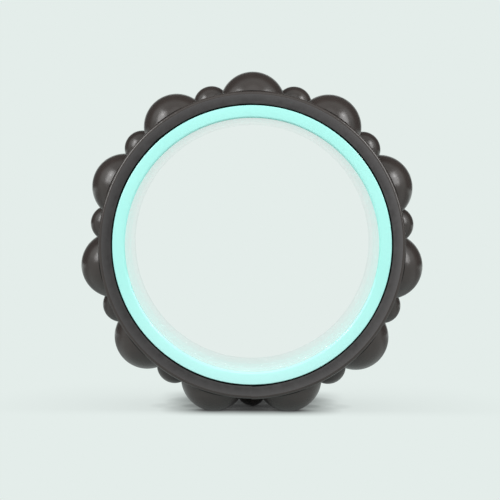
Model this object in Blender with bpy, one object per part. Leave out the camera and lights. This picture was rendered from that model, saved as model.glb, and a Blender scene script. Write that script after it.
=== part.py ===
"""Back roller wheel: a hollow plastic ring core of two moulded halves, a bonding film round it, and a foam
sleeve with two rows of large massage bumps and a row of small ones between them. The sleeve is a moulded strip
wrapped round the core, and its two ends meet straight down.

World frame: metres, +Z up, the wheel's axis along Y, the origin at the wheel's centre, one large bump on top.
Each piece is modelled round its own Z axis. The parent empty stands the wheel up: its +Z looks to the front,
which is world -Y, and its +Y is the wheel's top.
"""

import math

import bmesh
import bpy
from mathutils import Matrix, Vector

# Clearance between two pieces that touch
GAP = 0.0003

# Core: two hollow moulded halves that meet at the middle of the wheel's width. Each bay round it has one boss
# and one rib
CORE_BAYS = 11
FACETS_PER_BAY = 6
BORE_RADIUS = 0.1194
CORE_WIDTH = 0.130
CORE_RIM = 0.0118
BORE_WALL = 0.0028
OUTER_WALL = 0.0028
FACE_WALL = 0.0032
BORE_EDGE_RADIUS = 0.0020
OUTER_EDGE_RADIUS = 0.0008

# Ribs inside the core, each biting a little way into the walls it joins
RIB_THICKNESS = 0.0020
RIB_SETBACK = 0.0080
WEB_BITE = 0.0008

# Pegs on the front half and sockets in the rear half, each on a boss that stands in the hollow
PEG_RADIUS = 0.0017
PEG_LENGTH = 0.0060
PEG_CHAMFER = 0.0005
PEG_END_CLEARANCE = 0.0006
BOSS_WALL = 0.0016
BOSS_RECESS = 0.0004
BOSS_SIDES = 16

# Film that bonds the sleeve to the core
FILM_THICKNESS = 0.0005
FILM_INSET = 0.0020

# Foam sleeve: each pitch of the strip has one large bump in each outer row and one small bump between. Both
# ends are trimmed through a small bump, this far short of its middle at the strip's outside
PITCHES = 11
FACETS_PER_PITCH = 7
SLEEVE_THICKNESS = 0.0124
SLEEVE_SETBACK = 0.0005
SLEEVE_EDGE_RADIUS = 0.0030
END_TRIM = 0.0021

# Bumps: parts of balls that stand on the sleeve, each sunk a little way into it to be fused
LARGE_BALL_RADIUS = 0.0317
LARGE_BUMP_HEIGHT = 0.0206
LARGE_BUMP_SIDES = 20
LARGE_BUMP_RINGS = 5
SMALL_BALL_RADIUS = 0.0176
SMALL_BUMP_HEIGHT = 0.0150
SMALL_BUMP_SIDES = 14
SMALL_BUMP_RINGS = 4
BUMP_SHOULDER = 0.0001
BUMP_ROOT = 0.0020
BUMP_END_INSET = 0.00005

# Steps in a quarter turn of each rounded edge
SMALL_EDGE_STEPS = 2
LARGE_EDGE_STEPS = 4

# Points nearer than this are the same point
MERGE_DISTANCE = 0.00001
SHARP_ANGLE = math.radians(35)

# Sizes that follow from the ones above
CORE_FACETS = CORE_BAYS * FACETS_PER_BAY
SLEEVE_FACETS = PITCHES * FACETS_PER_PITCH
CORE_RADIUS = BORE_RADIUS + CORE_RIM
HALF_WIDTH = CORE_WIDTH / 2
HOLLOW_INNER = BORE_RADIUS + BORE_WALL
HOLLOW_OUTER = CORE_RADIUS - OUTER_WALL
HOLLOW_MIDDLE = (HOLLOW_INNER + HOLLOW_OUTER) / 2
HOLLOW_END = HALF_WIDTH - FACE_WALL
MATING_FACE = GAP / 2
SOCKET_RADIUS = PEG_RADIUS + GAP
BOSS_RADIUS = max(SOCKET_RADIUS + BOSS_WALL, (HOLLOW_OUTER - HOLLOW_INNER) / 2 + WEB_BITE)
FILM_INNER = CORE_RADIUS + GAP
FILM_OUTER = FILM_INNER + FILM_THICKNESS
SLEEVE_INNER = FILM_OUTER + GAP
SLEEVE_RADIUS = SLEEVE_INNER + SLEEVE_THICKNESS
SLEEVE_HALF_WIDTH = HALF_WIDTH - SLEEVE_SETBACK
FILM_HALF_WIDTH = SLEEVE_HALF_WIDTH - FILM_INSET

# Directions of the core's bosses and ribs
TOP = math.pi / 2
BAY_ANGLE = math.tau / CORE_BAYS
BOSS_ANGLES = [TOP - k * BAY_ANGLE for k in range(CORE_BAYS)]
RIB_ANGLES = [TOP - (k + 0.5) * BAY_ANGLE for k in range(CORE_BAYS)]

# Directions of the bumps, counted along the strip from the joint of its ends. The joint cuts the first and the
# last small bump
JOINT = TOP + math.pi
JOINT_ANGLE = GAP / SLEEVE_INNER
TRIM_ANGLE = END_TRIM / SLEEVE_RADIUS
PITCH_ANGLE = (math.tau + 2 * TRIM_ANGLE) / PITCHES
STRIP_START = JOINT - TRIM_ANGLE
LARGE_ANGLES = [STRIP_START + (k + 0.5) * PITCH_ANGLE for k in range(PITCHES)]
SMALL_ANGLES = [STRIP_START + k * PITCH_ANGLE for k in range(PITCHES + 1)]


def clear_scene():
    """Removes whatever the file opened with."""
    for obj in list(bpy.data.objects):
        bpy.data.objects.remove(obj)


def plain_material(name, colour, roughness):
    """A Principled material of one colour."""
    material = bpy.data.materials.new(name)
    material.use_nodes = True
    shader = material.node_tree.nodes["Principled BSDF"]
    shader.inputs["Base Color"].default_value = (*colour, 1.0)
    shader.inputs["Roughness"].default_value = roughness
    shader.inputs["Metallic"].default_value = 0.0
    return material


def arc(centre, radius, start, end, steps):
    """Points along an arc, in degrees, both ends included."""
    angles = [math.radians(start + (end - start) * k / steps) for k in range(steps + 1)]
    return [(centre[0] + radius * math.cos(a), centre[1] + radius * math.sin(a)) for a in angles]


def turned(profile, sides, hollow):
    """Body turned about Z from (radius, height) points. A hollow one is a ring, and the profile is its whole
    section. Any other starts and ends on the axis."""
    bm = bmesh.new()
    points = [bm.verts.new((radius, 0.0, height)) for radius, height in profile]
    ends = points[1:] + points[:1] if hollow else points[1:]
    lines = [bm.edges.new(pair) for pair in zip(points, ends)]
    bmesh.ops.spin(bm, geom=points + lines, axis=(0, 0, 1), angle=math.tau, steps=sides, use_merge=True)
    bmesh.ops.remove_doubles(bm, verts=bm.verts, dist=MERGE_DISTANCE)
    bmesh.ops.recalc_face_normals(bm, faces=bm.faces)
    return bm


def add_copies(target, body, places):
    """Adds a copy of a body to the target at each place, and frees the body."""
    mesh = bpy.data.meshes.new("copied_body")
    body.to_mesh(mesh)
    body.free()
    for place in places:
        first_new = len(target.verts)
        target.from_mesh(mesh)
        target.verts.ensure_lookup_table()
        bmesh.ops.transform(target, matrix=place, verts=target.verts[first_new:])
    bpy.data.meshes.remove(mesh)


def wheel_object(name, body, wheel, material=None):
    """Makes an object of a body, smooth apart from its sharp edges, on the wheel's parent empty."""
    mesh = bpy.data.meshes.new(name)
    body.to_mesh(mesh)
    body.free()
    mesh.shade_smooth()
    mesh.set_sharp_from_angle(angle=SHARP_ANGLE)
    if material:
        mesh.materials.append(material)
    obj = bpy.data.objects.new(name, mesh)
    bpy.context.scene.collection.objects.link(obj)
    obj.parent = wheel
    return obj


def fuse(obj, addition):
    """Fuses the addition to the object with a Boolean union, and keeps the addition as a guide only."""
    union = obj.modifiers.new("fuse_" + addition.name, "BOOLEAN")
    union.operation = "UNION"
    union.solver = "EXACT"
    union.use_self = True
    union.object = addition
    addition.hide_render = True
    addition.display_type = "WIRE"


def core_section():
    """Section of one core half from its mating face to its side face: two walls joined by the side face."""
    bore_edge = (BORE_RADIUS + BORE_EDGE_RADIUS, HALF_WIDTH - BORE_EDGE_RADIUS)
    outer_edge = (CORE_RADIUS - OUTER_EDGE_RADIUS, HALF_WIDTH - OUTER_EDGE_RADIUS)
    return [
        (BORE_RADIUS, MATING_FACE),
        *arc(bore_edge, BORE_EDGE_RADIUS, 180, 90, LARGE_EDGE_STEPS),
        *arc(outer_edge, OUTER_EDGE_RADIUS, 90, 0, SMALL_EDGE_STEPS),
        (CORE_RADIUS, MATING_FACE),
        (HOLLOW_OUTER, MATING_FACE),
        (HOLLOW_OUTER, HOLLOW_END),
        (HOLLOW_INNER, HOLLOW_END),
        (HOLLOW_INNER, MATING_FACE),
    ]


def peg_boss_section():
    """Half section of a front boss and its peg, which reaches past the middle of the wheel's width."""
    shoulder = MATING_FACE + BOSS_RECESS
    return [
        (0.0, HOLLOW_END + WEB_BITE),
        (BOSS_RADIUS, HOLLOW_END + WEB_BITE),
        (BOSS_RADIUS, shoulder),
        (PEG_RADIUS, shoulder),
        (PEG_RADIUS, PEG_CHAMFER - PEG_LENGTH),
        (PEG_RADIUS - PEG_CHAMFER, -PEG_LENGTH),
        (0.0, -PEG_LENGTH),
    ]


def socket_boss_section():
    """Half section of a rear boss and the blind socket that its peg goes into."""
    shoulder = MATING_FACE + BOSS_RECESS
    floor = PEG_LENGTH + PEG_END_CLEARANCE
    return [
        (0.0, HOLLOW_END + WEB_BITE),
        (BOSS_RADIUS, HOLLOW_END + WEB_BITE),
        (BOSS_RADIUS, shoulder),
        (SOCKET_RADIUS, shoulder),
        (SOCKET_RADIUS, floor),
        (0.0, floor),
    ]


def rib_body():
    """One rib, drawn on the X axis: a plate between the two walls, from the side face almost to the middle."""
    inner = HOLLOW_INNER - WEB_BITE
    outer = HOLLOW_OUTER + WEB_BITE
    low = MATING_FACE + RIB_SETBACK
    high = HOLLOW_END + WEB_BITE
    size = Matrix.Diagonal((outer - inner, RIB_THICKNESS, high - low, 1.0))
    centre = Matrix.Translation(((inner + outer) / 2, 0.0, (low + high) / 2))
    bm = bmesh.new()
    bmesh.ops.create_cube(bm, size=1.0, matrix=centre @ size)
    return bm


def core_half(name, boss_section, wheel, material):
    """One core half with its bosses and ribs, its side face towards +Z."""
    half = wheel_object(name, turned(core_section(), CORE_FACETS, hollow=True), wheel, material)
    webs = bmesh.new()
    to_hollow = Matrix.Translation((HOLLOW_MIDDLE, 0.0, 0.0))
    bosses = [Matrix.Rotation(a, 4, "Z") @ to_hollow for a in BOSS_ANGLES]
    add_copies(webs, turned(boss_section, BOSS_SIDES, hollow=False), bosses)
    add_copies(webs, rib_body(), [Matrix.Rotation(a, 4, "Z") for a in RIB_ANGLES])
    fuse(half, wheel_object(name + "_webs", webs, wheel))
    return half


def bonding_film(wheel, material):
    """The film is a plain thin band."""
    section = [
        (FILM_INNER, -FILM_HALF_WIDTH),
        (FILM_INNER, FILM_HALF_WIDTH),
        (FILM_OUTER, FILM_HALF_WIDTH),
        (FILM_OUTER, -FILM_HALF_WIDTH),
    ]
    return wheel_object("bonding_film", turned(section, CORE_FACETS, hollow=True), wheel, material)


def sleeve_section():
    """Section of the sleeve without its bumps."""
    edge_radius = SLEEVE_RADIUS - SLEEVE_EDGE_RADIUS
    edge_height = SLEEVE_HALF_WIDTH - SLEEVE_EDGE_RADIUS
    return [
        (SLEEVE_INNER, -SLEEVE_HALF_WIDTH),
        (SLEEVE_INNER, SLEEVE_HALF_WIDTH),
        *arc((edge_radius, edge_height), SLEEVE_EDGE_RADIUS, 90, 0, LARGE_EDGE_STEPS),
        *arc((edge_radius, -edge_height), SLEEVE_EDGE_RADIUS, 0, -90, LARGE_EDGE_STEPS),
    ]


def bump_body(ball_radius, height, sides, rings):
    """One bump, pointing along +Z at its distance from the wheel's axis. Its flat base is sunk in the sleeve,
    below the level where the ball meets the sleeve's curved outside."""
    centre = SLEEVE_RADIUS + height - ball_radius
    meeting_level = (SLEEVE_RADIUS**2 - ball_radius**2 + centre**2) / (2 * centre)
    base = meeting_level - BUMP_ROOT
    base_angle = math.degrees(math.asin((base - centre) / ball_radius))
    section = [(0.0, base), *arc((0.0, centre), ball_radius, base_angle, 90, rings)]
    return turned(section, sides, hollow=False)


def foot_radius(ball_radius, height):
    """How far a bump reaches along the wheel's width where it meets the sleeve."""
    return math.sqrt(height * (2 * ball_radius - height))


def bump_place(angle, across):
    """Turns a bump that points along +Z to point away from the wheel's axis at an angle, and moves it across."""
    outward = Matrix.Rotation(math.pi / 2, 4, "Y")
    return Matrix.Translation((0.0, 0.0, across)) @ Matrix.Rotation(angle, 4, "Z") @ outward


def strip_body():
    """The sleeve's section turned about the wheel's axis from one side of the joint round to the other."""
    section = sleeve_section()
    bm = bmesh.new()
    points = [bm.verts.new((radius, 0.0, height)) for radius, height in section]
    lines = [bm.edges.new(pair) for pair in zip(points, points[1:] + points[:1])]
    sweep = math.tau - JOINT_ANGLE
    bmesh.ops.spin(bm, geom=points + lines, axis=(0, 0, 1), angle=sweep, steps=SLEEVE_FACETS)
    bmesh.ops.holes_fill(bm, edges=[edge for edge in bm.edges if edge.is_boundary])
    bmesh.ops.recalc_face_normals(bm, faces=bm.faces)
    bmesh.ops.transform(bm, matrix=Matrix.Rotation(JOINT + JOINT_ANGLE / 2, 4, "Z"), verts=bm.verts)
    return bm


def end_bump(angle, side):
    """The small bump at one end of the strip, cut almost level with that end. Side is 1 for the end where the
    angles start and -1 for the other."""
    bump = bump_body(SMALL_BALL_RADIUS, SMALL_BUMP_HEIGHT, SMALL_BUMP_SIDES, SMALL_BUMP_RINGS)
    bmesh.ops.transform(bump, matrix=bump_place(angle, 0.0), verts=bump.verts)
    end = JOINT + side * (JOINT_ANGLE / 2 + BUMP_END_INSET / SLEEVE_RADIUS)
    outward = side * Vector((math.sin(end), -math.cos(end), 0.0))
    everything = bump.verts[:] + bump.edges[:] + bump.faces[:]
    bmesh.ops.bisect_plane(bump, geom=everything, plane_co=(0, 0, 0), plane_no=outward, clear_outer=True)
    bmesh.ops.holes_fill(bump, edges=[edge for edge in bump.edges if edge.is_boundary])
    bmesh.ops.recalc_face_normals(bump, faces=bump.faces)
    return bump


def massage_sleeve(wheel, material):
    """The sleeve: a large row near each side face and the small row in the middle, a half pitch on."""
    sleeve = wheel_object("massage_sleeve", strip_body(), wheel, material)
    large_foot = foot_radius(LARGE_BALL_RADIUS, LARGE_BUMP_HEIGHT)
    row = SLEEVE_HALF_WIDTH - SLEEVE_EDGE_RADIUS - BUMP_SHOULDER - large_foot
    large = bump_body(LARGE_BALL_RADIUS, LARGE_BUMP_HEIGHT, LARGE_BUMP_SIDES, LARGE_BUMP_RINGS)
    small = bump_body(SMALL_BALL_RADIUS, SMALL_BUMP_HEIGHT, SMALL_BUMP_SIDES, SMALL_BUMP_RINGS)
    bumps = bmesh.new()
    add_copies(bumps, large, [bump_place(a, across) for across in (row, -row) for a in LARGE_ANGLES])
    add_copies(bumps, small, [bump_place(a, 0.0) for a in SMALL_ANGLES[1:-1]])
    for angle, side in ((SMALL_ANGLES[0], 1), (SMALL_ANGLES[-1], -1)):
        add_copies(bumps, end_bump(angle, side), [Matrix.Identity(4)])
    fuse(sleeve, wheel_object("sleeve_bumps", bumps, wheel))
    return sleeve


def build():
    """Builds the wheel."""
    clear_scene()
    aqua_plastic = plain_material("aqua_plastic", (0.38, 0.86, 0.78), 0.22)
    adhesive = plain_material("adhesive", (0.05, 0.06, 0.06), 0.70)
    dark_foam = plain_material("dark_foam", (0.060, 0.056, 0.055), 0.55)

    wheel = bpy.data.objects.new("wheel", None)
    bpy.context.scene.collection.objects.link(wheel)
    wheel.rotation_euler = (math.pi / 2, 0.0, 0.0)

    core_half("core_front_half", peg_boss_section(), wheel, aqua_plastic)
    rear = core_half("core_rear_half", socket_boss_section(), wheel, aqua_plastic)
    rear_webs = bpy.data.objects["core_rear_half_webs"]
    for obj in (rear, rear_webs):
        obj.rotation_euler = (0.0, math.pi, 0.0)
    bonding_film(wheel, adhesive)
    massage_sleeve(wheel, dark_foam)
    bpy.context.view_layer.update()


build()
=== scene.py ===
"""Looks of the back roller wheel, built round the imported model.

Metres, +Z up, the wheel's axis along Y and its centre at the origin. The front side face looks to -Y. An
angle round the wheel is measured from +X towards +Z, so the top bump is at 90 degrees.
"""

import math

import bmesh
import bpy
import numpy as np
from mathutils import Matrix, Vector
from mathutils.geometry import delaunay_2d_cdt


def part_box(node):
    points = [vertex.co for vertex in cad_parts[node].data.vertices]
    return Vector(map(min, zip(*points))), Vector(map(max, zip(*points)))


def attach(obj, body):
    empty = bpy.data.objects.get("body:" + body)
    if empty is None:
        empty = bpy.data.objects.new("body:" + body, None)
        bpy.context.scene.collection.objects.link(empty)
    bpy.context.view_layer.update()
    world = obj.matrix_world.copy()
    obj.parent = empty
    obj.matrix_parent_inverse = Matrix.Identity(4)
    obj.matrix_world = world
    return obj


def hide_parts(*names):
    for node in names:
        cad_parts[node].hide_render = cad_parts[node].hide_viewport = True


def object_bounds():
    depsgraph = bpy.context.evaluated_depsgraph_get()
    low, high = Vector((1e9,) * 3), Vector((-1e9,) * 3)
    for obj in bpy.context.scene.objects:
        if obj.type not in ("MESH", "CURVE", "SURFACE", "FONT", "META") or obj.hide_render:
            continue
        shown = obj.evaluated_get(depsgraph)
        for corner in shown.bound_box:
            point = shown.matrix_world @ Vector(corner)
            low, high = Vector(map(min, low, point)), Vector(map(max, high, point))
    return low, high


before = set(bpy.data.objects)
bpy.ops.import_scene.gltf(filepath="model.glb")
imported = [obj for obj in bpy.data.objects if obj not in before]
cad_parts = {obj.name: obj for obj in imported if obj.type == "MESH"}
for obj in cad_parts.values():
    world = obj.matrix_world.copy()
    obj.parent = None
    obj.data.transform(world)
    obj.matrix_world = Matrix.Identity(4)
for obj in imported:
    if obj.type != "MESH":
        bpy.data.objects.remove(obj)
cad_low, cad_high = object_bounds()

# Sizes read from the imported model
core_low, core_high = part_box("core_front_half")
film_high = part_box("bonding_film")[1]
sleeve_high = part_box("massage_sleeve")[1]
HALF_WIDTH = -core_low.y
CORE_RADIUS = core_high.x
FILM_OUTER = film_high.x
SLEEVE_HALF_WIDTH = sleeve_high.y
FLOOR_LEVEL = cad_low.z

# Sizes that the boxes don't give, as in the solids
GAP = 0.0003
CORE_BAYS = 11
BORE_RADIUS = 0.1194
BORE_WALL = 0.0028
OUTER_WALL = 0.0028
FACE_WALL = 0.0032
BORE_EDGE_RADIUS = 0.0020
OUTER_EDGE_RADIUS = 0.0008
RIB_THICKNESS = 0.0020
RIB_SETBACK = 0.0080
WEB_BITE = 0.0008
PEG_RADIUS = 0.0017
PEG_LENGTH = 0.0060
PEG_CHAMFER = 0.0005
PEG_END_CLEARANCE = 0.0006
BOSS_WALL = 0.0016
BOSS_RECESS = 0.0004
PITCHES = 11
SLEEVE_THICKNESS = 0.0124
SLEEVE_EDGE_RADIUS = 0.0030
END_TRIM = 0.0021
LARGE_BALL_RADIUS = 0.0317
LARGE_BUMP_HEIGHT = 0.0206
SMALL_BALL_RADIUS = 0.0176
SMALL_BUMP_HEIGHT = 0.0150
BUMP_SHOULDER = 0.0001

# Sizes that follow
SLEEVE_INNER = FILM_OUTER + GAP
SLEEVE_RADIUS = SLEEVE_INNER + SLEEVE_THICKNESS
TOP = math.pi / 2
BAY_ANGLE = math.tau / CORE_BAYS
BOSS_ANGLES = [TOP - k * BAY_ANGLE for k in range(CORE_BAYS)]
RIB_ANGLES = [TOP - (k + 0.5) * BAY_ANGLE for k in range(CORE_BAYS)]
JOINT = TOP + math.pi
TRIM_ANGLE = END_TRIM / SLEEVE_RADIUS
PITCH_ANGLE = (math.tau + 2 * TRIM_ANGLE) / PITCHES
LARGE_ANGLES = [JOINT - TRIM_ANGLE + (k + 0.5) * PITCH_ANGLE for k in range(PITCHES)]

# Fine forms of the foam
BUMP_ROOT_BLEND = 0.0006
EDGE_STEPS = 6
EDGE_SEGMENTS = 24
FACE_SHARES = (0.12, 0.30, 0.55, 0.80, 1.0)
INNER_DEPTHS = (0.0015, 0.0030, 0.0050, 0.0080, 0.0300)
INNER_EDGE_RADIUS = 0.0003
INNER_EDGE_TURNS = (45, 90)
JOINT_LINE = 0.00001
GROOVE_WIDTH = 0.0004
GROOVE_DEPTH = 0.00005
END_LIFT = 0.0006
END_LIFT_ANGLE = math.radians(7)
SKIN, CUT, CREASE = 0, 1, 2

# Rings of points on and round a bump, as shares of its foot
CAP_RINGS = 14
CAP_SHARE = 0.90
ROOT_SHARES = (0.93, 0.96, 0.98)
CREASE_SHARES = (0.992, 1.0, 1.008, 1.016)
CREASE_MARGIN = 0.001
BASE_SHARES = (1.035, 1.06, 1.1, 1.15)
FINE_UNTIL = 1.05

# Spacing of the foam's points, and the least distance between them
CAP_SPACING = 0.0020
ROOT_SPACING = 0.0010
SMALL_FINENESS = 0.75
RING_LEAST = 0.55
CREASE_LEAST = 0.00005
EDGE_END_LEAST = 0.0005
EDGE_LEAST = 0.0007
GRID_LEAST = 0.75 * CAP_SPACING
GRID_MARGIN = 0.3 * CAP_SPACING
GRID_ROW = 0.87 * CAP_SPACING
BORDER_STEPS = 60
CLOSE = 0.000001
FOAM_WELD = 0.000002

# The foam's cut inner edge: how far it stands off its circle, its waves as count, height and phase, and the
# place where it is pulled away
GAP_EXTRA = 0.0004
GAP_WAVES = ((3, 0.00010, 0.7), (7, 0.00008, 2.1), (17, 0.00005, 0.0))
GAP_WAVE_LEAST = -0.0002
REAR_WAVE_TURN = 2.0
WAVE_DEPTH = 0.004
PULLED_ANGLE = math.radians(132.6)
PULLED_WIDTH = math.radians(2.6)
PULLED_AWAY = 0.0006

# Fine forms of the core
CORE_SEGMENTS = CORE_BAYS * 32
BORE_EDGE_STEPS = 8
OUTER_EDGE_STEPS = 5
PARTING_CHAMFER = 0.00015
BOSS_SIDES = 32
CORE_WELD = 0.00001

# Edges sharper than this stay sharp
SMOOTH_LIMIT = math.radians(32)

# Colours. Most go from a darker to a paler tone
AQUA = ((0.410, 0.920, 0.845), (0.430, 0.940, 0.865))
# Painted light: the paler aqua the core takes low down, standing in for more light falling there
AQUA_PAINTED_LOW_LIGHT = (0.530, 0.975, 0.935)
# Partly painted shade: the adhesive is dark, and its teal tint stands in for the aqua core's wall in shadow
ADHESIVE_AND_GAP_SHADE = ((0.002, 0.014, 0.013), (0.006, 0.040, 0.036))
FOAM_SKIN = ((0.0330, 0.0250, 0.0225), (0.0390, 0.0300, 0.0270))
# Painted shade: the dark tone at the bottom of the crease round each bump
FOAM_CREASE_SHADE = ((0.003, 0.0025, 0.0022), (0.006, 0.005, 0.0045))
FOAM_SIDE = ((0.041, 0.0385, 0.0385), (0.051, 0.0475, 0.0475))
FOAM_SPECKS = (0.067, 0.064, 0.064)
# Painted sheen: the paler tone of the foam's side face by its outer edge
FOAM_PAINTED_EDGE_SHEEN = (0.090, 0.086, 0.086)

# Painted light: where the core is paler low down, from its full tone up to none, standing in for more light
# there, and where the foam's side face is paler by the skin, a painted sheen
LOW_DOWN = (-0.130, -0.030)
BY_SKIN = (0.1355, 0.1420)

# Camera, from the vanishing point of the wheel's axis and the two rims of its bore
CAMERA_DISTANCE = 1.358
CAMERA_HEIGHT = 0.040
CAMERA_PITCH = math.radians(-1.87)
CAMERA_YAW = math.radians(0.079)
CAMERA_ROLL = math.radians(0.3)
LENS = 104.3
SENSOR_WIDTH = 36.0

# Floor and background, with the reach and the tones of the wheel's painted shade on them
BACKGROUND = (0.7758, 0.8469, 0.8228)
FLOOR_SIZE = 12.0
FLOOR_COLOUR = (0.30, 0.32, 0.315)
SHADE_COLOUR = (0.80, 0.80, 0.80)
SHADE_DEPTHS = (-0.072, -0.030)
SHADE_SAMPLES = 16
NEAR_REACH = 0.030
NEAR_BLACK = 0.04
WIDE_REACH = 0.16
WIDE_TONE = 0.80
TINT_UNTIL = 0.35

# Painted soft shadow behind the wheel: where it rises and falls along Y and falls to the sides, and its tone
FALLEN_RISE = (0.000, 0.062)
FALLEN_FALL = (0.070, 0.130)
FALLEN_SIDE = (0.060, 0.100)
FALLEN_TONE = 0.69

# Dark card on the floor and dark flags in the world, as depths between which they rise and fall
CARD_RISE = (0.00, 0.10)
CARD_FALL = (0.5, 1.0)
CARD_TONE = 0.45
FLAG_RISE = (0.05, 0.30)
FLAG_FALL = (0.84, 0.92)
FLAG_TONE = 0.12

# Lights
FRONT_LIGHT = 0.78
BACK_LIGHT = 0.30
LIGHT_TURN = (-0.4, 0.4)
BOX_WIDTH = 1.0
BOX_HEIGHT = 1.6
BOX_DISTANCE = 2.5


def arc(centre, radius, start, end, steps):
    """Points along an arc, in degrees, both ends included."""
    angles = [math.radians(start + (end - start) * k / steps) for k in range(steps + 1)]
    return [(centre[0] + radius * math.cos(a), centre[1] + radius * math.sin(a)) for a in angles]


def new_object(name, mesh, materials):
    """Links an object of a mesh, smooth apart from its sharp edges."""
    mesh.shade_smooth()
    mesh.set_sharp_from_angle(angle=SMOOTH_LIMIT)
    for material in materials:
        mesh.materials.append(material)
    obj = bpy.data.objects.new(name, mesh)
    bpy.context.scene.collection.objects.link(obj)
    return obj


def stand_in_for(obj, slot, *nodes):
    """Makes the piece ride on the wheel in place of its CAD nodes."""
    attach(obj, "root")
    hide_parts(*nodes)
    return obj


# Node helpers

COLOUR_A, COLOUR_B, MIXED_COLOUR = 6, 7, 2
VALUE_A, VALUE_B, MIXED_VALUE = 2, 3, 0


def new_material(name):
    """A material with a Principled shader: the material, its nodes, its links and the shader."""
    material = bpy.data.materials.new(name)
    material.use_nodes = True
    tree = material.node_tree
    return material, tree.nodes, tree.links, tree.nodes["Principled BSDF"]


def place_on(nodes, links, axis, space="Object"):
    """One coordinate of a shaded point: in its object's own metres, or of a direction in the world."""
    place = nodes.new("ShaderNodeTexCoord")
    parts = nodes.new("ShaderNodeSeparateXYZ")
    links.new(place.outputs[space], parts.inputs["Vector"])
    return parts.outputs[axis]


def noise(nodes, links, scale, detail=2.0, roughness=0.5):
    """Noise in the wheel's own metres."""
    place = nodes.new("ShaderNodeTexCoord")
    texture = nodes.new("ShaderNodeTexNoise")
    texture.inputs["Scale"].default_value = scale
    texture.inputs["Detail"].default_value = detail
    texture.inputs["Roughness"].default_value = roughness
    links.new(place.outputs["Object"], texture.inputs["Vector"])
    return texture.outputs["Fac"]


def remap(nodes, links, value, low, high, to_low, to_high):
    """Maps a value from one range to another, clamped."""
    node = nodes.new("ShaderNodeMapRange")
    node.inputs["From Min"].default_value = low
    node.inputs["From Max"].default_value = high
    node.inputs["To Min"].default_value = to_low
    node.inputs["To Max"].default_value = to_high
    links.new(value, node.inputs["Value"])
    return node.outputs["Result"]


def soft_step(nodes, links, value, low, high, to_low, to_high):
    """Like remap, with a smooth start and end."""
    result = remap(nodes, links, value, low, high, to_low, to_high)
    result.node.interpolation_type = "SMOOTHSTEP"
    return result


def product(nodes, links, first, second):
    """One value times another."""
    node = nodes.new("ShaderNodeMath")
    node.operation = "MULTIPLY"
    links.new(first, node.inputs[0])
    links.new(second, node.inputs[1])
    return node.outputs[0]


def scaled(nodes, links, colour, scale):
    """A colour times a value."""
    node = nodes.new("ShaderNodeVectorMath")
    node.operation = "SCALE"
    links.new(colour, node.inputs[0])
    links.new(scale, node.inputs["Scale"])
    return node.outputs["Vector"]


def blend_colours(nodes, links, factor, first, second):
    """Mixes two colours by a factor. The first may come from another node."""
    node = nodes.new("ShaderNodeMix")
    node.data_type = "RGBA"
    if isinstance(first, bpy.types.NodeSocket):
        links.new(first, node.inputs[COLOUR_A])
    else:
        node.inputs[COLOUR_A].default_value = (*first, 1.0)
    node.inputs[COLOUR_B].default_value = (*second, 1.0)
    links.new(factor, node.inputs["Factor"])
    return node.outputs[MIXED_COLOUR]


def wheel_radius(nodes, links):
    """Distance from the wheel's axis."""
    place = nodes.new("ShaderNodeTexCoord")
    flat = nodes.new("ShaderNodeVectorMath")
    flat.operation = "MULTIPLY"
    flat.inputs[1].default_value = (1.0, 0.0, 1.0)
    length = nodes.new("ShaderNodeVectorMath")
    length.operation = "LENGTH"
    links.new(place.outputs["Object"], flat.inputs[0])
    links.new(flat.outputs["Vector"], length.inputs[0])
    return length.outputs["Value"]


def bump(nodes, links, height, strength, distance, under=None):
    """A bump of a height value, on top of another bump if there is one."""
    node = nodes.new("ShaderNodeBump")
    node.inputs["Strength"].default_value = strength
    node.inputs["Distance"].default_value = distance
    links.new(height, node.inputs["Height"])
    if under:
        links.new(under, node.inputs["Normal"])
    return node.outputs["Normal"]


# Materials

def core_plastic():
    """Glossy aqua moulded plastic with a faint orange peel, a little paler low down as painted light."""
    material, nodes, links, shader = new_material("aqua_plastic")
    tone = remap(nodes, links, noise(nodes, links, scale=14.0), 0.35, 0.65, 0.0, 1.0)
    colour = blend_colours(nodes, links, tone, *AQUA)
    # Painted light: paler low down, standing in for more light falling on the lower part
    low = remap(nodes, links, place_on(nodes, links, "Z"), *LOW_DOWN, 1.0, 0.0)
    links.new(blend_colours(nodes, links, low, colour, AQUA_PAINTED_LOW_LIGHT), shader.inputs["Base Color"])
    gloss = remap(nodes, links, noise(nodes, links, scale=60.0, detail=4.0), 0.3, 0.7, 0.10, 0.14)
    links.new(gloss, shader.inputs["Roughness"])
    shader.inputs["Coat Weight"].default_value = 1.0
    shader.inputs["Coat Roughness"].default_value = 0.04
    peel = bump(nodes, links, noise(nodes, links, scale=260.0), strength=0.08, distance=0.00002)
    links.new(peel, shader.inputs["Normal"])
    return material


def dull_dark(name, tones):
    """A dull dark material that varies between two tones."""
    material, nodes, links, shader = new_material(name)
    tone = noise(nodes, links, scale=300.0)
    links.new(blend_colours(nodes, links, tone, *tones), shader.inputs["Base Color"])
    shader.inputs["Roughness"].default_value = 0.7
    shader.inputs["Specular IOR Level"].default_value = 0.1
    return material


def film_material():
    """Dark adhesive, seen only down the gap between the core and the sleeve. Its teal tint is painted shade:
    the aqua core's wall in shadow.
    """
    return dull_dark("adhesive", ADHESIVE_AND_GAP_SHADE)


def foam_crease_shade():
    """Painted shade: dark and dull at the bottom of the crease round each bump, where hardly any light gets.
    """
    return dull_dark("foam_crease_shade", FOAM_CREASE_SHADE)


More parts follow.
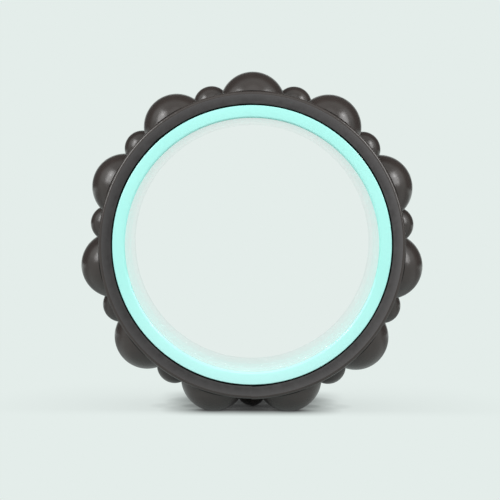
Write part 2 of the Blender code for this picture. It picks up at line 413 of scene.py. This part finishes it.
def foam_skin():
    """Moulded outside of the foam: dark, satin and slightly uneven."""
    material, nodes, links, shader = new_material("foam_skin")
    tone = remap(nodes, links, noise(nodes, links, scale=70.0, detail=3.0), 0.35, 0.65, 0.0, 1.0)
    links.new(blend_colours(nodes, links, tone, *FOAM_SKIN), shader.inputs["Base Color"])
    gloss = remap(nodes, links, noise(nodes, links, scale=240.0, detail=3.0), 0.3, 0.7, 0.21, 0.26)
    links.new(gloss, shader.inputs["Roughness"])
    shader.inputs["Specular IOR Level"].default_value = 0.5
    coarse = bump(nodes, links, noise(nodes, links, scale=420.0), strength=0.25, distance=0.00006)
    fine_noise = noise(nodes, links, scale=1500.0, detail=3.0)
    fine = bump(nodes, links, fine_noise, strength=0.25, distance=0.00004, under=coarse)
    links.new(fine, shader.inputs["Normal"])
    return material


def foam_cut():
    """Side face of the foam: matte and mottled, with the fine grain of closed cells. It is paler by the skin,
    a painted sheen, and a little paler towards +X, painted light from that side."""
    material, nodes, links, shader = new_material("foam_side")
    drift = remap(nodes, links, noise(nodes, links, scale=28.0), 0.35, 0.65, 0.0, 1.0)
    ground = blend_colours(nodes, links, drift, *FOAM_SIDE)
    mottle = noise(nodes, links, scale=160.0, detail=4.0, roughness=0.6)
    specks = remap(nodes, links, mottle, 0.30, 0.70, 0.0, 1.0)
    speckled = blend_colours(nodes, links, specks, ground, FOAM_SPECKS)
    # Painted sheen: paler towards the skin, where the face turns round its outer edge and catches light
    painted_sheen_share = remap(nodes, links, wheel_radius(nodes, links), *BY_SKIN, 0.0, 1.0)
    paler = blend_colours(nodes, links, painted_sheen_share, speckled, FOAM_PAINTED_EDGE_SHEEN)
    # Painted light: brighter towards +X and darker towards -X, as if more light came from that side
    side = remap(nodes, links, place_on(nodes, links, "X"), -0.14, 0.14, 0.74, 1.10)
    links.new(scaled(nodes, links, paler, side), shader.inputs["Base Color"])
    shader.inputs["Roughness"].default_value = 0.8
    shader.inputs["Specular IOR Level"].default_value = 0.25
    cells = nodes.new("ShaderNodeTexVoronoi")
    cells.inputs["Scale"].default_value = 1400.0
    place = nodes.new("ShaderNodeTexCoord")
    links.new(place.outputs["Object"], cells.inputs["Vector"])
    grain = bump(nodes, links, cells.outputs["Distance"], strength=0.5, distance=0.00012)
    links.new(grain, shader.inputs["Normal"])
    return material


# Core

def turned(profile, sides, hollow):
    """Body turned about Z from (radius, height) points. A hollow one is a ring, and the profile is its whole
    section. Any other starts and ends on the axis."""
    bm = bmesh.new()
    points = [bm.verts.new((radius, 0.0, height)) for radius, height in profile]
    ends = points[1:] + points[:1] if hollow else points[1:]
    lines = [bm.edges.new(pair) for pair in zip(points, ends)]
    bmesh.ops.spin(bm, geom=points + lines, axis=(0, 0, 1), angle=math.tau, steps=sides, use_merge=True)
    bmesh.ops.remove_doubles(bm, verts=bm.verts, dist=CORE_WELD)
    bmesh.ops.recalc_face_normals(bm, faces=bm.faces)
    return bm


def add_copies(target, body, places):
    """Adds a copy of a body to the target at each place, and frees the body."""
    mesh = bpy.data.meshes.new("copied_body")
    body.to_mesh(mesh)
    body.free()
    for place in places:
        first_new = len(target.verts)
        target.from_mesh(mesh)
        target.verts.ensure_lookup_table()
        bmesh.ops.transform(target, matrix=place, verts=target.verts[first_new:])
    bpy.data.meshes.remove(mesh)


def temporary(name, bm):
    """A linked object of a bmesh, for a Boolean."""
    mesh = bpy.data.meshes.new(name)
    bm.to_mesh(mesh)
    bm.free()
    obj = bpy.data.objects.new(name, mesh)
    bpy.context.scene.collection.objects.link(obj)
    return obj


def core_section():
    """Section of one core half from its mating face to its side face, chamfered at the parting line."""
    mating = GAP / 2
    hollow_inner = BORE_RADIUS + BORE_WALL
    hollow_outer = CORE_RADIUS - OUTER_WALL
    hollow_end = HALF_WIDTH - FACE_WALL
    bore_edge = (BORE_RADIUS + BORE_EDGE_RADIUS, HALF_WIDTH - BORE_EDGE_RADIUS)
    outer_edge = (CORE_RADIUS - OUTER_EDGE_RADIUS, HALF_WIDTH - OUTER_EDGE_RADIUS)
    return [
        (BORE_RADIUS + PARTING_CHAMFER, mating),
        (BORE_RADIUS, mating + PARTING_CHAMFER),
        *arc(bore_edge, BORE_EDGE_RADIUS, 180, 90, BORE_EDGE_STEPS),
        *arc(outer_edge, OUTER_EDGE_RADIUS, 90, 0, OUTER_EDGE_STEPS),
        (CORE_RADIUS, mating + PARTING_CHAMFER),
        (CORE_RADIUS - PARTING_CHAMFER, mating),
        (hollow_outer, mating),
        (hollow_outer, hollow_end),
        (hollow_inner, hollow_end),
        (hollow_inner, mating),
    ]


def boss_section(has_peg):
    """Half section of a boss with its peg, or with its blind socket."""
    hollow_end = HALF_WIDTH - FACE_WALL
    socket_radius = PEG_RADIUS + GAP
    hollow_depth = CORE_RADIUS - OUTER_WALL - BORE_RADIUS - BORE_WALL
    boss_radius = max(socket_radius + BOSS_WALL, hollow_depth / 2 + WEB_BITE)
    shoulder = GAP / 2 + BOSS_RECESS
    top = [(0.0, hollow_end + WEB_BITE), (boss_radius, hollow_end + WEB_BITE), (boss_radius, shoulder)]
    if has_peg:
        return top + [
            (PEG_RADIUS, shoulder),
            (PEG_RADIUS, PEG_CHAMFER - PEG_LENGTH),
            (PEG_RADIUS - PEG_CHAMFER, -PEG_LENGTH),
            (0.0, -PEG_LENGTH),
        ]
    floor = PEG_LENGTH + PEG_END_CLEARANCE
    return top + [(socket_radius, shoulder), (socket_radius, floor), (0.0, floor)]


def rib_body():
    """One rib, drawn on the X axis: a plate between the two walls."""
    inner = BORE_RADIUS + BORE_WALL - WEB_BITE
    outer = CORE_RADIUS - OUTER_WALL + WEB_BITE
    low = GAP / 2 + RIB_SETBACK
    high = HALF_WIDTH - FACE_WALL + WEB_BITE
    size = Matrix.Diagonal((outer - inner, RIB_THICKNESS, high - low, 1.0))
    middle = Matrix.Translation(((inner + outer) / 2, 0.0, (low + high) / 2))
    bm = bmesh.new()
    bmesh.ops.create_cube(bm, size=1.0, matrix=middle @ size)
    return bm


def in_fixed_order(mesh, name):
    """The same mesh with its points and faces in a fixed order, which a Boolean's result doesn't have."""
    order = sorted(range(len(mesh.vertices)), key=lambda k: tuple(mesh.vertices[k].co))
    place = {old: new for new, old in enumerate(order)}
    faces = []
    for polygon in mesh.polygons:
        corners = [place[k] for k in polygon.vertices]
        first = corners.index(min(corners))
        faces.append(corners[first:] + corners[:first])
    ordered = bpy.data.meshes.new(name)
    ordered.from_pydata([tuple(mesh.vertices[k].co) for k in order], [], sorted(faces))
    return ordered


def core_half(name, node, has_peg, to_world, material):
    """One core half: walls, bosses and ribs fused into one mesh, then stood up in its place."""
    walls = temporary(name + "_walls", turned(core_section(), CORE_SEGMENTS, hollow=True))
    middle = (BORE_RADIUS + BORE_WALL + CORE_RADIUS - OUTER_WALL) / 2
    webs = bmesh.new()
    bosses = [Matrix.Rotation(a, 4, "Z") @ Matrix.Translation((middle, 0.0, 0.0)) for a in BOSS_ANGLES]
    add_copies(webs, turned(boss_section(has_peg), BOSS_SIDES, hollow=False), bosses)
    add_copies(webs, rib_body(), [Matrix.Rotation(a, 4, "Z") for a in RIB_ANGLES])
    inside = temporary(name + "_webs", webs)
    union = walls.modifiers.new("fuse", "BOOLEAN")
    union.operation = "UNION"
    union.solver = "EXACT"
    union.object = inside
    view = bpy.context.evaluated_depsgraph_get()
    mesh = bpy.data.meshes.new_from_object(walls.evaluated_get(view))
    for obj in (walls, inside):
        bpy.data.objects.remove(obj)
    mesh = in_fixed_order(mesh, name)
    mesh.transform(to_world)
    return stand_in_for(new_object(name, mesh, [material]), "core_plastic", node)


# Foam sleeve

def foot_radius(ball_radius, height):
    """How far a bump reaches along the wheel's width where it meets the sleeve."""
    return math.sqrt(height * (2 * ball_radius - height))


def foot_angle(ball_radius, height):
    """How far a bump reaches round the wheel where it meets the sleeve, as an angle."""
    centre = SLEEVE_RADIUS + height - ball_radius
    level = (SLEEVE_RADIUS**2 - ball_radius**2 + centre**2) / (2 * centre)
    return math.acos(level / SLEEVE_RADIUS)


LARGE_FOOT = foot_radius(LARGE_BALL_RADIUS, LARGE_BUMP_HEIGHT)
SMALL_FOOT = foot_radius(SMALL_BALL_RADIUS, SMALL_BUMP_HEIGHT)
LARGE_FOOT_ROUND = foot_angle(LARGE_BALL_RADIUS, LARGE_BUMP_HEIGHT) * SLEEVE_RADIUS
SMALL_FOOT_ROUND = foot_angle(SMALL_BALL_RADIUS, SMALL_BUMP_HEIGHT) * SLEEVE_RADIUS
FLAT_HALF_WIDTH = SLEEVE_HALF_WIDTH - SLEEVE_EDGE_RADIUS
ROW = FLAT_HALF_WIDTH - BUMP_SHOULDER - LARGE_FOOT
HALF_PITCH = PITCH_ANGLE / 2 * SLEEVE_RADIUS
UNROLLED_HALF_WIDTH = FLAT_HALF_WIDTH + SLEEVE_EDGE_RADIUS * math.pi / 2


def bump_lift(angle, across, base, ball_radius, height):
    """How far a bump stands above the sleeve at points given from the bump's middle, with a blended root."""
    centre = SLEEVE_RADIUS + height - ball_radius
    inside = ball_radius**2 - across**2 - (centre * np.sin(angle)) ** 2
    reach = centre * np.cos(angle) + np.sqrt(np.maximum(inside, 0.0))
    reach = np.where(inside > 0.0, reach, 0.0)
    blend = np.maximum(BUMP_ROOT_BLEND - np.abs(reach - base), 0.0)
    return np.maximum(reach, base) + blend**2 / (4 * BUMP_ROOT_BLEND) - base


def in_crease(angle, unrolled_across, ball_radius, height):
    """Whether points given from a bump's middle lie in the crease round it."""
    round_share = angle / foot_angle(ball_radius, height)
    across_share = unrolled_across / foot_radius(ball_radius, height)
    share = np.hypot(round_share, across_share)
    return (share > CREASE_SHARES[0] - CREASE_MARGIN) & (share < CREASE_SHARES[-1] + CREASE_MARGIN)


def outside_points(unrolled, missing):
    """Angle, place across and distance from the axis of points on the unrolled outside of the sleeve, and
    whether each is in a crease. An unrolled place says how far round the wheel it is at the sleeve's radius,
    and how far along its width and on round its edge. Where some length is missing from the tile, its small
    bump is squeezed."""
    angle = unrolled[:, 0] / SLEEVE_RADIUS
    past = np.maximum(unrolled[:, 1] - FLAT_HALF_WIDTH, 0.0) / SLEEVE_EDGE_RADIUS
    across = np.minimum(unrolled[:, 1], FLAT_HALF_WIDTH) + SLEEVE_EDGE_RADIUS * np.sin(past)
    base = SLEEVE_RADIUS - SLEEVE_EDGE_RADIUS * (1 - np.cos(past))
    radius = base.copy()
    creased = np.zeros(len(base), bool)
    far = (HALF_PITCH - missing) / SLEEVE_RADIUS
    squeeze = SMALL_FOOT_ROUND / (SMALL_FOOT_ROUND - missing)
    bumps = [(angle - place, row, LARGE_BALL_RADIUS, LARGE_BUMP_HEIGHT)
             for place in (0.0, 2 * far) for row in (ROW, -ROW)]
    bumps += [((angle - place) * squeeze, 0.0, SMALL_BALL_RADIUS, SMALL_BUMP_HEIGHT)
              for place in (far, -far)]
    for turn, row, ball_radius, height in bumps:
        radius += bump_lift(turn, across - row, base, ball_radius, height)
        creased |= in_crease(turn, unrolled[:, 1] - row, ball_radius, height)
    return angle, across, radius, creased


def bump_rings(centre, foot_round, foot_across, start, end, fineness=1.0):
    """Points in rings round a bump's middle, from one angle to another, in the unrolled sleeve, and how close
    each may be to others: close together by the root, and lined up across the crease."""
    points = []
    cap_shares = [k / CAP_RINGS * CAP_SHARE for k in range(CAP_RINGS + 1)]
    for share in (*cap_shares, *ROOT_SHARES, *CREASE_SHARES, *BASE_SHARES):
        spacing = fineness * (ROOT_SPACING if CAP_SHARE <= share <= FINE_UNTIL else CAP_SPACING)
        least = CREASE_LEAST if share in CREASE_SHARES else RING_LEAST * spacing
        size = 1.0 if share in CREASE_SHARES else share
        length = size * (foot_round + foot_across) / 2 * (end - start)
        count = max(1, round(length / spacing)) if share else 1
        for k in range(count + 1):
            turn = start + (end - start) * k / count
            points.append((centre[0] + share * foot_round * math.cos(turn),
                           centre[1] + share * foot_across * math.sin(turn), least))
    return points


def snapped(value, *lines):
    """A value, moved onto a line that it is next to."""
    return next((line for line in lines if abs(value - line) < CLOSE), value)


def tile_points(missing):
    """Points over a quarter of one pitch of the unrolled sleeve: half a large bump at one side and a quarter
    of a small bump at the other. Next to the joint some of its length is missing. Gives the points on the
    tile's border, and all of its points, with those on the border first."""
    wide = HALF_PITCH - missing
    tall = UNROLLED_HALF_WIDTH
    quarter = math.pi / 2
    rings = bump_rings((0.0, ROW), LARGE_FOOT_ROUND, LARGE_FOOT, -quarter, quarter)
    rings += bump_rings((wide, 0.0), SMALL_FOOT_ROUND - missing, SMALL_FOOT, quarter, 2 * quarter,
                        SMALL_FINENESS)
    edge_rows = [FLAT_HALF_WIDTH + (tall - FLAT_HALF_WIDTH) * k / EDGE_STEPS for k in range(EDGE_STEPS)]
    chosen = []

    def take(x, y, least):
        if all((x - p[0]) ** 2 + (y - p[1]) ** 2 >= least**2 for p in chosen):
            chosen.append((x, y))

    for corner in ((0.0, 0.0), (wide, 0.0), (wide, tall), (0.0, tall)):
        take(*corner, 0.0)
    for k in range(1, EDGE_SEGMENTS):
        take(wide * k / EDGE_SEGMENTS, tall, 0.0)
    for x, y, least in rings:
        x, y = snapped(x, 0.0, wide), snapped(y, 0.0)
        if (x in (0.0, wide) and CLOSE < y < tall - CLOSE) or (y == 0.0 and CLOSE < x < wide - CLOSE):
            take(x, y, least)
    for x in (0.0, wide):
        for y in edge_rows:
            take(x, y, EDGE_END_LEAST)
    if missing:
        take(wide - GROOVE_WIDTH, 0.0, 0.0)
        take(wide - GROOVE_WIDTH, tall, 0.0)
    for k in range(1, BORDER_STEPS):
        share = k / BORDER_STEPS
        for x, y in ((0.0, tall * share), (wide, tall * share), (wide * share, 0.0)):
            take(x, y, GRID_LEAST)
    border = list(chosen)

    if missing:
        for x, y in border:
            if x == wide and 0.0 < y < tall:
                take(wide - GROOVE_WIDTH, y, 0.0)
    for x, y, least in rings:
        if min(x, wide - x, y, tall - y) > max(CLOSE, RING_LEAST * least):
            take(x, y, least)
    for y in edge_rows:
        for k in range(1, EDGE_SEGMENTS):
            take(wide * k / EDGE_SEGMENTS, y, EDGE_LEAST)
    rows = int(tall / GRID_ROW)
    for row in range(1, rows):
        for k in range(int(wide / CAP_SPACING) + 1):
            x = (k + 0.5 * (row % 2)) * CAP_SPACING
            if GRID_MARGIN < x < wide - GRID_MARGIN:
                take(x, tall * row / rows, GRID_LEAST)
    return border, chosen


def tile_mesh(missing):
    """Triangles over a tile: what outside_points gives of its points, and the triangles. Its border goes to
    the triangulation as a loop of lines, in order along its four sides."""
    border, points = tile_points(missing)
    wide = HALF_PITCH - missing

    def along(place):
        x, y = place
        if y <= 0.0 and x < wide:
            return (0, x)
        if x >= wide and y < UNROLLED_HALF_WIDTH:
            return (1, y)
        if y >= UNROLLED_HALF_WIDTH and x > 0.0:
            return (2, -x)
        return (3, -y)

    order = sorted(range(len(border)), key=lambda k: along(border[k]))
    loop = list(zip(order, order[1:] + order[:1]))
    millimetres = 1000.0
    coordinates = [Vector((x * millimetres, y * millimetres)) for x, y in points]
    inside_only, tolerance = 1, 1e-5
    made = delaunay_2d_cdt(coordinates, loop, [], inside_only, tolerance)
    unrolled = np.array([(place.x / millimetres, place.y / millimetres) for place in made[0]])
    triangles = np.array([list(corners) for corners in made[2] if len(corners) == 3])
    return outside_points(unrolled, missing), triangles


def gap_wobble(angle):
    """How far the foam's cut inner edge stands off its circle. One place at the upper left is pulled away."""
    wave = sum(height * np.sin(count * angle + phase) for count, height, phase in GAP_WAVES)
    away = np.angle(np.exp(1j * (angle - PULLED_ANGLE)))
    pulled = PULLED_AWAY * np.exp(-((away / PULLED_WIDTH) ** 2))
    return GAP_EXTRA + np.maximum(wave, GAP_WAVE_LEAST) + pulled


def past_joint(x, z):
    """Angle of a place counted along the strip from the joint of its ends."""
    return (math.atan2(z, x) - JOINT) % math.tau


def sleeve_mesh():
    """The whole foam sleeve: its outside from mirrored and turned copies of the tiles, its side faces, its
    inner wall and the two end faces at the joint."""
    whole = tile_mesh(0.0)
    cut = tile_mesh(END_TRIM + JOINT_LINE / 2)
    verts, faces, materials = [], [], []
    count = 0
    for k in range(PITCHES):
        for flip_round in (1, -1):
            at_joint = (k, flip_round) in ((0, -1), (PITCHES - 1, 1))
            (angle, across, radius, creased), triangles = cut if at_joint else whole
            turn = LARGE_ANGLES[k] + flip_round * angle
            for flip_across in (1, -1):
                verts.append(np.column_stack((radius * np.cos(turn), flip_across * across,
                                              radius * np.sin(turn))))
                block = triangles + count
                faces.append(block[:, ::-1] if flip_round * flip_across > 0 else block)
                # Faces wholly in a crease take the painted crease shade
                materials.append(np.where(creased[triangles].all(axis=1), CREASE, SKIN))
                count += len(angle)
    mesh = bpy.data.meshes.new("foam_sleeve")
    mesh.from_pydata(np.concatenate(verts).tolist(), [], np.concatenate(faces).tolist())
    mesh.polygons.foreach_set("material_index", np.concatenate(materials))
    bm = bmesh.new()
    bm.from_mesh(mesh)
    bmesh.ops.remove_doubles(bm, verts=bm.verts, dist=FOAM_WELD)
    front = add_side_face(bm, -1)
    back = add_side_face(bm, 1)
    join_inner_wall(bm, front, back)
    ends = bmesh.ops.holes_fill(bm, edges=[edge for edge in bm.edges if edge.is_boundary])["faces"]
    for face in ends:
        face.material_index = CUT
    bmesh.ops.triangulate(bm, faces=ends)
    bmesh.ops.recalc_face_normals(bm, faces=bm.faces)
    finish_joint(bm)
    bm.to_mesh(mesh)
    bm.free()
    return mesh


def bridge(bm, first, second):
    """Quads of the cut face between two rows of as many points."""
    for k in range(len(first) - 1):
        face = bm.faces.new((first[k], first[k + 1], second[k + 1], second[k]))
        face.material_index = CUT


def row_at(bm, angles, radii, y):
    """A row of points round the wheel."""
    return [bm.verts.new((r * math.cos(a), y, r * math.sin(a))) for a, r in zip(angles, radii)]


def add_side_face(bm, side):
    """One side face, from the rounded outer edge to the cut inner edge. Gives its innermost row of points."""
    row = [v for v in bm.verts if v.co.y * side > SLEEVE_HALF_WIDTH - CLOSE]
    row.sort(key=lambda v: past_joint(v.co.x, v.co.z))
    angles = np.array([math.atan2(v.co.z, v.co.x) for v in row])
    outer = np.array([math.hypot(v.co.x, v.co.z) for v in row])
    inner = SLEEVE_INNER + INNER_EDGE_RADIUS + gap_wobble(angles if side < 0 else angles + REAR_WAVE_TURN)
    for share in FACE_SHARES:
        following = row_at(bm, angles, outer + (inner - outer) * share, side * SLEEVE_HALF_WIDTH)
        bridge(bm, row, following)
        row = following
    for turn in INNER_EDGE_TURNS:
        lower = math.radians(turn)
        y = side * (SLEEVE_HALF_WIDTH - INNER_EDGE_RADIUS * (1 - math.cos(lower)))
        following = row_at(bm, angles, inner - INNER_EDGE_RADIUS * math.sin(lower), y)
        bridge(bm, row, following)
        row = following
    return row


def join_inner_wall(bm, front, back):
    """The inner wall, from the front side's inner edge to the back's, where the edges' waves fade out."""
    angles = [math.atan2(v.co.z, v.co.x) for v in front]
    starts = np.array([math.hypot(v.co.x, v.co.z) for v in front])
    ends = np.array([math.hypot(v.co.x, v.co.z) for v in back])
    low, high = front[0].co.y, back[0].co.y
    row = front
    for y in (*(low + depth for depth in INNER_DEPTHS), *(high - depth for depth in reversed(INNER_DEPTHS))):
        front_share = math.exp(-((y - low) / WAVE_DEPTH) ** 2)
        back_share = math.exp(-((high - y) / WAVE_DEPTH) ** 2)
        radii = SLEEVE_INNER + (starts - SLEEVE_INNER) * front_share + (ends - SLEEVE_INNER) * back_share
        following = row_at(bm, angles, radii, y)
        bridge(bm, row, following)
        row = following
    bridge(bm, row, back)


def finish_joint(bm):
    """Rounds off the corners of the strip's two ends, and lifts the first end a little off the core."""
    for vert in bm.verts:
        past = past_joint(vert.co.x, vert.co.z)
        radius = math.hypot(vert.co.x, vert.co.z)
        moved = radius + END_LIFT * math.exp(-(past / END_LIFT_ANGLE) ** 2)
        if min(past, math.tau - past) * SLEEVE_RADIUS < GROOVE_WIDTH / 2:
            if abs(vert.co.y) > SLEEVE_HALF_WIDTH - INNER_EDGE_RADIUS:
                vert.co.y -= math.copysign(GROOVE_DEPTH, vert.co.y)
            if radius > SLEEVE_RADIUS - SLEEVE_EDGE_RADIUS:
                moved -= GROOVE_DEPTH
        vert.co.x *= moved / radius
        vert.co.z *= moved / radius


# Stage, lights and camera

def seen_directly(nodes, links):
    """1 for rays from the camera and for those that mirror or pass on its view, else 0."""
    path = nodes.new("ShaderNodeLightPath")
    first = nodes.new("ShaderNodeMath")
    first.operation = "MAXIMUM"
    second = nodes.new("ShaderNodeMath")
    second.operation = "MAXIMUM"
    links.new(path.outputs["Is Camera Ray"], first.inputs[0])
    links.new(path.outputs["Is Glossy Ray"], first.inputs[1])
    links.new(first.outputs[0], second.inputs[0])
    links.new(path.outputs["Is Transmission Ray"], second.inputs[1])
    return second.outputs[0]


def flagged(nodes, links, depth, rise, fall, tone):
    """How bright gloss sees something: the tone of a dark flag between a rise and a fall of a depth, or 1."""
    path = nodes.new("ShaderNodeLightPath")
    past_rise = remap(nodes, links, depth, *rise, 0.0, 1.0)
    before_fall = remap(nodes, links, depth, *fall, 1.0, 0.0)
    between = product(nodes, links, past_rise, before_fall)
    flag = product(nodes, links, between, path.outputs["Is Glossy Ray"])
    return remap(nodes, links, flag, 0.0, 1.0, 1.0, tone)


def painted_fallen_shadow(nodes, links, depth):
    """How bright the floor stays in a painted soft shadow behind the wheel, as light from the front throws
    it.
    """
    side = nodes.new("ShaderNodeMath")
    side.operation = "ABSOLUTE"
    links.new(place_on(nodes, links, "X"), side.inputs[0])
    rise = soft_step(nodes, links, depth, *FALLEN_RISE, 0.0, 1.0)
    fall = soft_step(nodes, links, depth, *FALLEN_FALL, 1.0, 0.0)
    within = soft_step(nodes, links, side.outputs[0], *FALLEN_SIDE, 1.0, 0.0)
    shadow = product(nodes, links, product(nodes, links, rise, fall), within)
    return remap(nodes, links, shadow, 0.0, 1.0, 1.0, FALLEN_TONE)


def openness(nodes, reach):
    """How open the floor is to its surroundings within a reach: 1 where nothing is near."""
    node = nodes.new("ShaderNodeAmbientOcclusion")
    node.samples = SHADE_SAMPLES
    node.inputs["Distance"].default_value = reach
    return node.outputs["AO"]


def painted_floor_shade(nodes, links, depth):
    """How bright the floor is, with painted shade: darker where the wheel is near and behind it, plain in
    front.
    """
    near = remap(nodes, links, openness(nodes, NEAR_REACH), NEAR_BLACK, 1.0, 0.0, 1.0)
    wide = remap(nodes, links, openness(nodes, WIDE_REACH), 0.0, 1.0, WIDE_TONE, 1.0)
    shaded = product(nodes, links, product(nodes, links, near, wide), painted_fallen_shadow(nodes, links, depth))
    tone = nodes.new("ShaderNodeMix")
    links.new(remap(nodes, links, depth, *SHADE_DEPTHS, 0.0, 1.0), tone.inputs["Factor"])
    tone.inputs[VALUE_A].default_value = 1.0
    links.new(shaded, tone.inputs[VALUE_B])
    return tone.outputs[MIXED_VALUE]


def floor_material():
    """Shows the background's colour to the camera and to gloss, with the wheel's shade painted on it, and
    bounces a little light as a plain surface."""
    material = bpy.data.materials.new("floor")
    material.use_nodes = True
    nodes, links = material.node_tree.nodes, material.node_tree.links
    nodes.clear()
    output = nodes.new("ShaderNodeOutputMaterial")
    mix = nodes.new("ShaderNodeMixShader")
    diffuse = nodes.new("ShaderNodeBsdfDiffuse")
    diffuse.inputs["Color"].default_value = (*FLOOR_COLOUR, 1.0)
    shown = nodes.new("ShaderNodeEmission")
    depth = place_on(nodes, links, "Y")
    tone = painted_floor_shade(nodes, links, depth)
    tint = remap(nodes, links, tone, 0.0, TINT_UNTIL, 0.0, 1.0)
    colour = blend_colours(nodes, links, tint, SHADE_COLOUR, BACKGROUND)
    card = flagged(nodes, links, depth, CARD_RISE, CARD_FALL, CARD_TONE)
    links.new(scaled(nodes, links, colour, product(nodes, links, tone, card)), shown.inputs["Color"])
    links.new(seen_directly(nodes, links), mix.inputs[0])
    links.new(diffuse.outputs[0], mix.inputs[1])
    links.new(shown.outputs[0], mix.inputs[2])
    links.new(mix.outputs[0], output.inputs["Surface"])
    return material


def build_stage():
    """A wide floor under the wheel."""
    mesh = bpy.data.meshes.new("floor")
    half = FLOOR_SIZE / 2
    corners = [(-half, -half, 0), (half, -half, 0), (half, half, 0), (-half, half, 0)]
    mesh.from_pydata(corners, [], [(0, 1, 2, 3)])
    mesh.materials.append(floor_material())
    floor = bpy.data.objects.new("floor", mesh)
    floor.location.z = FLOOR_LEVEL
    bpy.context.scene.collection.objects.link(floor)


def build_world():
    """Soft light, stronger from the front, with the plain background where the camera looks. Dark flags stand
    behind the wheel outside the view, where only its gloss shows them."""
    world = bpy.data.worlds.new("studio")
    bpy.context.scene.world = world
    world.use_nodes = True
    nodes, links = world.node_tree.nodes, world.node_tree.links
    nodes.clear()
    output = nodes.new("ShaderNodeOutputWorld")
    mix = nodes.new("ShaderNodeMixShader")
    depth = place_on(nodes, links, "Y", space="Generated")
    light = nodes.new("ShaderNodeBackground")
    light.inputs["Color"].default_value = (1.0, 1.0, 1.0, 1.0)
    links.new(remap(nodes, links, depth, *LIGHT_TURN, FRONT_LIGHT, BACK_LIGHT), light.inputs["Strength"])
    shown = nodes.new("ShaderNodeBackground")
    shown.inputs["Color"].default_value = (*BACKGROUND, 1.0)
    flags = flagged(nodes, links, depth, FLAG_RISE, FLAG_FALL, FLAG_TONE)
    links.new(flags, shown.inputs["Strength"])
    links.new(seen_directly(nodes, links), mix.inputs[0])
    links.new(light.outputs[0], mix.inputs[1])
    links.new(shown.outputs[0], mix.inputs[2])
    links.new(mix.outputs[0], output.inputs["Surface"])


def add_sun(name, towards, strength, spread, in_gloss=True):
    """A soft distant lamp: the direction towards it, its strength, how wide it looks in degrees, and whether
    glossy surfaces mirror it."""
    data = bpy.data.lights.new(name, "SUN")
    data.energy = strength
    data.angle = math.radians(spread)
    lamp = bpy.data.objects.new(name, data)
    lamp.rotation_mode = "QUATERNION"
    lamp.rotation_quaternion = Vector(towards).to_track_quat("Z", "Y")
    lamp.visible_glossy = in_gloss
    bpy.context.scene.collection.objects.link(lamp)


def add_soft_box(name, towards, radiance):
    """A tall soft box that faces the wheel: the direction towards it and how bright its cloth is."""
    data = bpy.data.lights.new(name, "AREA")
    data.shape = "RECTANGLE"
    data.size = BOX_WIDTH
    data.size_y = BOX_HEIGHT
    data.energy = radiance * math.pi * BOX_WIDTH * BOX_HEIGHT
    lamp = bpy.data.objects.new(name, data)
    lamp.location = Vector(towards).normalized() * BOX_DISTANCE
    lamp.rotation_mode = "QUATERNION"
    lamp.rotation_quaternion = Vector(towards).to_track_quat("Z", "Y")
    bpy.context.scene.collection.objects.link(lamp)


def build_lights():
    """Two tall soft boxes in front, hottest in the middle, wide lights above and beside them, and a plain
    lamp for the rear face."""
    add_soft_box("soft_box_left", (-0.73, -0.44, 0.48), 5.4)
    add_soft_box("soft_box_right", (0.75, -0.43, 0.46), 5.3)
    add_sun("hot_spot_left", (-0.686, -0.429, 0.588), 0.13, 6)
    add_sun("hot_spot_right", (0.701, -0.405, 0.588), 0.13, 6)
    add_sun("top_box", (0.0, -0.70, 0.71), 0.26, 45)
    add_sun("side_fill_left", (-0.83, -0.15, 0.54), 0.16, 40)
    add_sun("side_fill_right", (0.83, -0.15, 0.54), 0.12, 40)
    add_sun("rear_lamp", (0.0, 0.99, 0.1), 1.90, 20, in_gloss=False)


def build_camera():
    """The camera in front of the wheel, a little above its axis."""
    data = bpy.data.cameras.new("camera")
    data.lens = LENS
    data.sensor_width = SENSOR_WIDTH
    camera = bpy.data.objects.new("camera", data)
    camera.location = (0.0, -HALF_WIDTH - CAMERA_DISTANCE, CAMERA_HEIGHT)
    turn = Matrix.Rotation(CAMERA_YAW, 3, "Z") @ Matrix.Rotation(math.pi / 2 + CAMERA_PITCH, 3, "X")
    camera.rotation_euler = (turn @ Matrix.Rotation(CAMERA_ROLL, 3, "Z")).to_euler()
    bpy.context.scene.collection.objects.link(camera)
    bpy.context.scene.camera = camera


def main():
    bpy.context.scene.view_settings.view_transform = "Standard"
    build_camera()
    aqua = core_plastic()
    stand_up = Matrix.Rotation(math.pi / 2, 4, "X")
    turn_round = Matrix.Rotation(math.pi, 4, "Y")
    core_half("front_core_shell", "core_front_half", True, stand_up, aqua)
    core_half("rear_core_shell", "core_rear_half", False, stand_up @ turn_round, aqua)
    film_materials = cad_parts["bonding_film"].data.materials
    film_materials.clear()
    film_materials.append(film_material())
    sleeve = new_object("foam_sleeve", sleeve_mesh(), [foam_skin(), foam_cut(), foam_crease_shade()])
    stand_in_for(sleeve, "sleeve_foam", "massage_sleeve")
    build_stage()
    build_world()
    build_lights()
    bpy.context.view_layer.update()


main()
